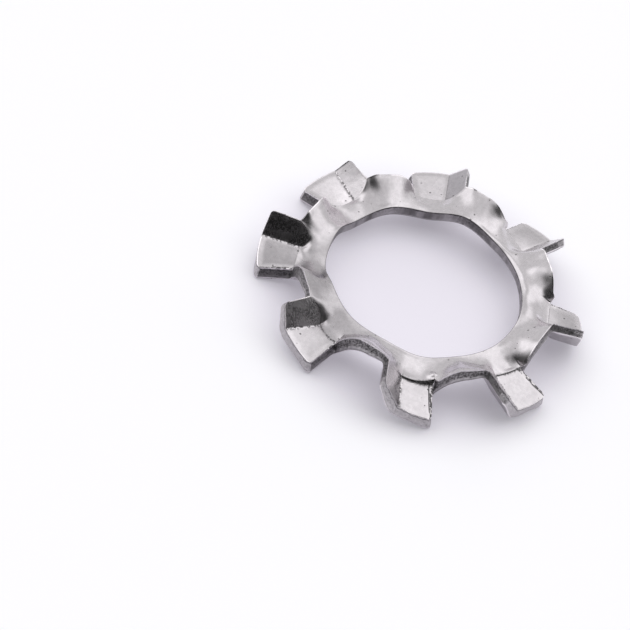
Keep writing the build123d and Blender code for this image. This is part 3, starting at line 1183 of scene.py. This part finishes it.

# %% [markdown]
# ## Colour, roughness and relief
# Bare steel has no paint: its colour is how much of the light it mirrors, a pale grey with a trace
# of pink. Every trace so far darkens or brightens that grey by a share, and so does every painted
# shade and painted highlight; the back is darkened by painted shade too. So the shares are
# multiplied. Roughness is a sum instead: about a quarter, and more on walls, pits and scuffs.
# The relief is in thousandths of a millimetre, too small for the mesh, so it goes in as a bump.

# %% Colour
pit_dark, root_shade_strength, painted_light_strength, back_shade_strength = 0.66, 0.7, 0.36, 0.22
edge_highlight_gain = 0.45
steel_tint = (0.68, 0.647, 0.673)
# Painted shade: under the root step, between the beads, along the bore's rim, by tooth, on one side of the
# ring and on the back. Painted highlight: the bright line along the outline.
shade = scaled(pits, -pit_dark, 1.0)
for share in (
    scaled(root_step_shade, -root_shade_strength, 1.0),
    less(bead_shade_and_dents),
    less(bore_rim_shade),
    scaled(mark("painted_light"), -painted_light_strength, 1.0),
    ramp(cloud(6.0, 3.0), 0.3, 0.7, 0.95, 1.04),
    scaled(painted_edge_highlight, edge_highlight_gain, 1.0),
    scaled(mark("back"), -back_shade_strength, 0.97),
):
    shade = times(shade, share)
shade = between(is_wall, shade, wall_shade)
tint = tree.nodes.new("ShaderNodeVectorMath")
tint.operation = "SCALE"
tint.inputs[0].default_value = steel_tint
tree.links.new(shade, tint.inputs["Scale"])
tree.links.new(tint.outputs[0], shader.inputs["Base Color"])
shader.inputs["Metallic"].default_value = 1.0
print("steel tint:", steel_tint)

# %% Roughness and relief
scuffs = times(mark("wing"), ramp(cloud(14.0, 3.0, stretch=(1, 1, 0.5)), 0.42, 0.72))
rough = scaled(cloudy, 0.09, 0.21)
rougher = ((is_wall, 0.18), (mark("back"), 0.08), (scuffs, 0.14), (pits, 0.3), (painted_edge_highlight, -0.06))
for mask, amount in rougher:
    rough = scaled(mask, amount, rough)
tree.links.new(rough, shader.inputs["Roughness"])

relief = times(cloud(13.0, 2.0), 0.0008)
for mask, rise in (
    (cloud(5.0, 2.0, offset=5.0), 0.0016),
    (cloud(1.3, 1.0, offset=9.0), 0.022),
    (pits, -0.006),
    (bead_shade_and_dents, -0.020),
    (scuffs, 0.0025),
    (times(is_wall, streaks), 0.010),
    (times(times(is_wall, torn), flecks), -0.012),
):
    relief = scaled(mask, rise, relief)
bump = tree.nodes.new("ShaderNodeBump")
bump.inputs["Distance"].default_value = mm
tree.links.new(relief, bump.inputs["Height"])
tree.links.new(bump.outputs[0], shader.inputs["Normal"])
washer_mesh.materials.append(steel)
print("steel nodes:", len(tree.nodes))

# %% [markdown]
# ## A white sweep
# Small parts are shown on a white paper sweep. The paper is a plain matt sheet under the lowest
# point of the washer, so that the shadow falls on it. More lamps would bleach the steel too, so
# the paper glows instead, for the camera and for rays that mirror or pass through only. Close to
# the washer the glow is weaker and a trace more violet: a painted shadow round it. It is also
# weaker where the washer shelters the paper, on the side away from the light, a painted shadow too.
# That shelter is measured with ambient occlusion along a leaning direction, because a glow of its
# own shows no shadow.

# %% Paper
floor_z = low[2] * mm
half_width = 2.0
floor_mesh = bpy.data.meshes.new("sweep")
square = [(-half_width, -half_width), (half_width, -half_width), (half_width, half_width)]
square.append((-half_width, half_width))
floor_mesh.from_pydata([(x, y, floor_z) for x, y in square], [], [(0, 1, 2, 3)])
floor = bpy.data.objects.new("sweep", floor_mesh)
bpy.context.scene.collection.objects.link(floor)
floor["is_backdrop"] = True
paper = bpy.data.materials.new("pale_paper")
paper.use_nodes = True
matt = paper.node_tree.nodes["Principled BSDF"]
matt.inputs["Base Color"].default_value = (0.60, 0.575, 0.63, 1)
matt.inputs["Roughness"].default_value = 0.9
floor_mesh.materials.append(paper)
print("paper height, mm:", round(floor_z / mm, 2))

# %% Glow and shelter of the paper
# The weaker, more violet glow near the washer is a painted shadow round it.
glow_near, glow_far = (0.43, 0.415, 0.46, 1), (0.57, 0.58, 0.58, 1)
near_r, far_r = 0.0060, 0.0092
shelter_reach, shelter_lean = 0.0055, (-0.62, -0.15, 0.77)
sheet_tree = paper.node_tree
from_middle = sheet_tree.nodes.new("ShaderNodeVectorMath")
from_middle.operation = "LENGTH"
sheet_tree.links.new(sheet_tree.nodes.new("ShaderNodeTexCoord").outputs["Object"], from_middle.inputs[0])
glow = sheet_tree.nodes.new("ShaderNodeMix")
glow.data_type = "RGBA"
sheet_tree.links.new(ramp(from_middle.outputs["Value"], near_r, far_r), glow.inputs["Factor"])
glow.inputs["A"].default_value = glow_near
glow.inputs["B"].default_value = glow_far
sheet_tree.links.new(glow.outputs["Result"], matt.inputs["Emission Color"])
shelter = sheet_tree.nodes.new("ShaderNodeAmbientOcclusion")
shelter.inputs["Distance"].default_value = shelter_reach
lean = sheet_tree.nodes.new("ShaderNodeCombineXYZ")
for socket, value in zip(lean.inputs, shelter_lean):
    socket.default_value = value
sheet_tree.links.new(lean.outputs[0], shelter.inputs["Normal"])
open_share = ramp(shelter.outputs["AO"], 0.30, 0.95, 0.58, 1.0)
rays = sheet_tree.nodes.new("ShaderNodeLightPath")
seen = calc("MAXIMUM", rays.outputs["Is Camera Ray"], rays.outputs["Is Glossy Ray"])
seen = calc("MAXIMUM", seen, rays.outputs["Is Transmission Ray"])
sheet_tree.links.new(times(open_share, seen), matt.inputs["Emission Strength"])
print("paper nodes:", len(sheet_tree.nodes))

# %% [markdown]
# ## A room to reflect
# Polished metal has no look of its own: it shows the room. A studio for small parts is a white tent
# with soft boxes, here two at the camera's right and one at its left, and a dark opening, which the
# camera looks through. The steel turns dark wherever it faces that opening, and that gives it its
# contrast. Lamps could do the lighting, but only the world can also be the room, so each soft box
# is a soft round patch of it, and the opening is made of two dark ones.
# The camera itself is shown plain white there, so that the paper has no visible horizon.

# %% Tent, soft boxes and opening
tent_level = 0.77
# Each patch: azimuth, elevation, inner angle, outer angle, level.
right_boxes = (102, 40, 10, 36, 0.55), (150, 52, 8, 32, 0.55)
left_box = (264, 42, 8, 30, 0.62)
openings = (-18, 20, 30, 60, 0.97), (48, 14, 30, 54, 0.96)
world = bpy.data.worlds.new("studio")
bpy.context.scene.world = world
world.use_nodes = True
sky = world.node_tree
look = sky.nodes.new("ShaderNodeTexCoord").outputs["Generated"]


def patch(azimuth, elevation, inner, outer, level):
    """A round patch of the room: level inside the inner angle, nothing past the outer."""
    a, e = math.radians(azimuth), math.radians(elevation)
    dot = sky.nodes.new("ShaderNodeVectorMath")
    dot.operation = "DOT_PRODUCT"
    sky.links.new(look, dot.inputs[0])
    dot.inputs[1].default_value = (math.cos(a) * math.cos(e), math.sin(a) * math.cos(e), math.sin(e))
    edge, core = math.cos(math.radians(outer)), math.cos(math.radians(inner))
    return ramp(dot.outputs["Value"], edge, core, 0.0, level)


room = calc("ADD", tent_level, calc("MAXIMUM", *(patch(*box) for box in right_boxes)))
room = calc("ADD", room, patch(*left_box))
room = times(room, less(calc("MAXIMUM", *(patch(*opening) for opening in openings))))
sky_rays = sky.nodes.new("ShaderNodeLightPath")
room = between(sky_rays.outputs["Is Camera Ray"], room, 1.0)
sky.links.new(room, sky.nodes["Background"].inputs["Strength"])
sky.nodes["Background"].inputs["Color"].default_value = (1, 1, 1, 1)
print("soft boxes:", len(right_boxes) + 1, "dark patches of the opening:", len(openings))

# %% [markdown]
# ## The camera
# The part is small, so the camera is a long lens close to it, less than twelve centimetres away.
# It looks down at about forty-five degrees, roughly along the fold of the first tooth, and is
# rolled by some twenty degrees. A matrix of sixteen numbers would place it too, but nobody can read
# one, so it is placed the way a tripod is: turn it to the right side, tip it down, roll it, and
# step back from the point it aims at.

# %% Camera
azimuth, elevation, roll = -3.055, 45.608, 19.75
aim, aim_distance = Vector((3.726, -4.161, 0.0)) * mm, 114.65 * mm
focal_length, sensor_width = 155.16, 36
camera_data = bpy.data.cameras.new("camera")
camera = bpy.data.objects.new("camera", camera_data)
bpy.context.scene.collection.objects.link(camera)
turn = Matrix.Rotation(math.radians(azimuth + 90), 4, "Z")
turn = turn @ Matrix.Rotation(math.radians(90 - elevation), 4, "X")
turn = turn @ Matrix.Rotation(math.radians(roll), 4, "Z")
camera_place = aim + turn @ Vector((0, 0, aim_distance))
camera.matrix_world = Matrix.Translation(camera_place) @ turn
camera_data.lens = focal_length
camera_data.sensor_width = sensor_width
camera_data.clip_start = mm
bpy.context.scene.camera = camera
bpy.context.scene.view_settings.view_transform = "Standard"
print("camera distance, mm:", round(camera_place.length / mm))

# %% [markdown]
# A finish may not change a part's size: this washer still has to sit under its nut. Burrs, swells
# and rounding each move the surface by a few hundredths of a millimetre, so the box of the finished
# washer is printed beside the box of the CAD model.

# %% Print both boxes
bpy.context.view_layer.update()
size_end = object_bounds()
boxes = {"cad": size_start, "visual": size_end}
plain_boxes = {name: [[float(value) for value in corner] for corner in box] for name, box in boxes.items()}
for name, box in plain_boxes.items():
    print(name, "box, mm:", [[round(value / mm, 3) for value in corner] for corner in box])
